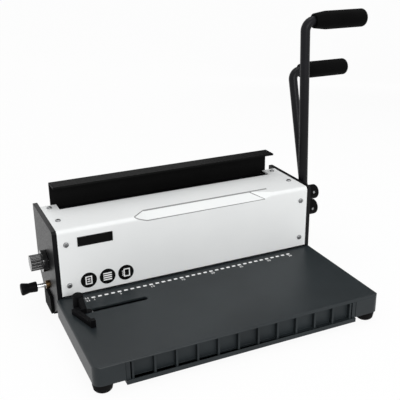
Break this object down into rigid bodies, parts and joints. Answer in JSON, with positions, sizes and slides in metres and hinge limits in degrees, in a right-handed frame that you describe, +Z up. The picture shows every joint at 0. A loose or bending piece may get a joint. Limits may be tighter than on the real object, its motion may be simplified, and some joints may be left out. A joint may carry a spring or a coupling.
{
  "type": "wire binding machine",
  "caption": "Manual desktop wire binding machine: lever punch for a row of square holes, lever press that closes wire combs, edge guide, chip drawer.",
  "frame": {"origin": "floor level under the centre of the bounding box", "axes": "+X to the right along the hole row towards the handles, +Y to the back, +Z up"},
  "size_m": [0.538, 0.304, 0.355],
  "materials": {
    "table_plastic": "dark charcoal moulding, fine matt texture",
    "drawer_plastic": "dark charcoal moulding, satin",
    "foot_rubber": "matt black",
    "plate_paint": "black powder coat",
    "cover_paint": "white powder coat, satin",
    "black_paint": "black powder coat, satin",
    "grip_rubber": "black soft grip",
    "black_plastic": "black moulding",
    "badge_black": "black foil",
    "machined_steel": "ground steel",
    "screw_steel": "plated steel",
    "spring_steel": "bright wire",
    "brass": "turned brass"
  },
  "bodies": {
    "frame": {"base_shell": "table_plastic", "drawer_runners": "machined_steel", "front_feet": "foot_rubber", "foot_screws": "screw_steel", "rear_feet": "foot_rubber", "side_plate_left": "plate_paint", "side_plate_right": "plate_paint", "cover": "cover_paint", "cover_screws": "screw_steel", "nameplate": "badge_black", "badges": "badge_black", "rear_panel": "plate_paint", "rear_panel_screws": "screw_steel", "die_bar": "machined_steel", "base_screws": "screw_steel", "stripper_bar": "machined_steel", "guide_posts": "machined_steel", "cross_beam": "machined_steel", "anvil_plate": "plate_paint", "anvil_screws": "screw_steel", "tie_rod": "machined_steel", "punch_bushes": "brass", "closing_bushes": "brass", "closing_sleeve": "black_paint", "press_guides": "machined_steel", "pull_bush": "brass", "return_springs": "spring_steel", "press_springs": "spring_steel", "pin_spring": "spring_steel"},
    "punch_handle": {"punch_shaft": "machined_steel", "punch_pinions": "machined_steel", "punch_hub": "black_paint", "punch_hub_screw": "screw_steel", "punch_lever": "black_paint", "punch_grip": "grip_rubber"},
    "punch_ram": {"punch_carrier": "machined_steel", "pin_retainer": "machined_steel", "punch_pins": "machined_steel", "punch_racks": "machined_steel"},
    "closing_handle": {"closing_shaft": "machined_steel", "closing_sectors": "machined_steel", "stop_arm": "machined_steel", "closing_hub": "black_paint", "closing_hub_screw": "screw_steel", "closing_lever": "black_paint", "closing_grip": "grip_rubber"},
    "press": {"press_bar": "black_paint", "press_racks": "machined_steel", "press_screws": "screw_steel"},
    "guide": {"edge_guide": "black_plastic", "guide_clamp_plate": "machined_steel", "guide_screws": "screw_steel"},
    "size_dial": {"size_knob": "black_plastic", "size_spindle": "machined_steel", "size_cam": "machined_steel"},
    "plunger": {"pull_knob": "black_plastic", "pull_pin": "machined_steel"},
    "back_stop": {"margin_stop": "machined_steel"},
    "drawer": {"chip_drawer": "drawer_plastic"}
  },
  "joints": [
    {"name": "punch_swing", "type": "hinge", "parent": "frame", "child": "punch_handle", "pos_m": [-0.052, 0.04097, 0.08], "axis": [1, 0, 0], "range_deg": [0, 70]},
    {"name": "punch_slide", "type": "slide", "parent": "frame", "child": "punch_ram", "axis": [0, 0, -1], "range_m": [0, 0.011], "stiffness_N_per_m": 1500, "springref_m": -0.02, "deforming": ["return_springs"]},
    {"name": "closing_swing", "type": "hinge", "parent": "frame", "child": "closing_handle", "pos_m": [-0.052, 0.09247, 0.08], "axis": [1, 0, 0], "range_deg": [0, 85]},
    {"name": "press_slide", "type": "slide", "parent": "frame", "child": "press", "axis": [0, 0, -1], "range_m": [0, 0.0223], "stiffness_N_per_m": 400, "springref_m": -0.03, "deforming": ["press_springs"]},
    {"name": "guide_slide", "type": "slide", "parent": "frame", "child": "guide", "axis": [1, 0, 0], "range_m": [0, 0.07]},
    {"name": "size_turn", "type": "hinge", "parent": "frame", "child": "size_dial", "pos_m": [-0.242, 0.05597, 0.069], "axis": [-1, 0, 0], "range_deg": [-150, 150]},
    {"name": "plunger_slide", "type": "slide", "parent": "frame", "child": "plunger", "axis": [-1, 0, 0], "range_m": [0, 0.008], "stiffness_N_per_m": 600, "springref_m": -0.01, "deforming": ["pin_spring"]},
    {"name": "back_stop_slide", "type": "slide", "parent": "frame", "child": "back_stop", "axis": [0, 1, 0], "range_m": [0, 0.004]},
    {"name": "drawer_slide", "type": "slide", "parent": "frame", "child": "drawer", "axis": [0, -1, 0], "range_m": [0, 0.15]}
  ],
  "couplings": [
    {"joint": "punch_slide", "follows": "punch_swing", "m_per_rad": 0.009},
    {"joint": "press_slide", "follows": "closing_swing", "m_per_rad": 0.015}
  ]
}
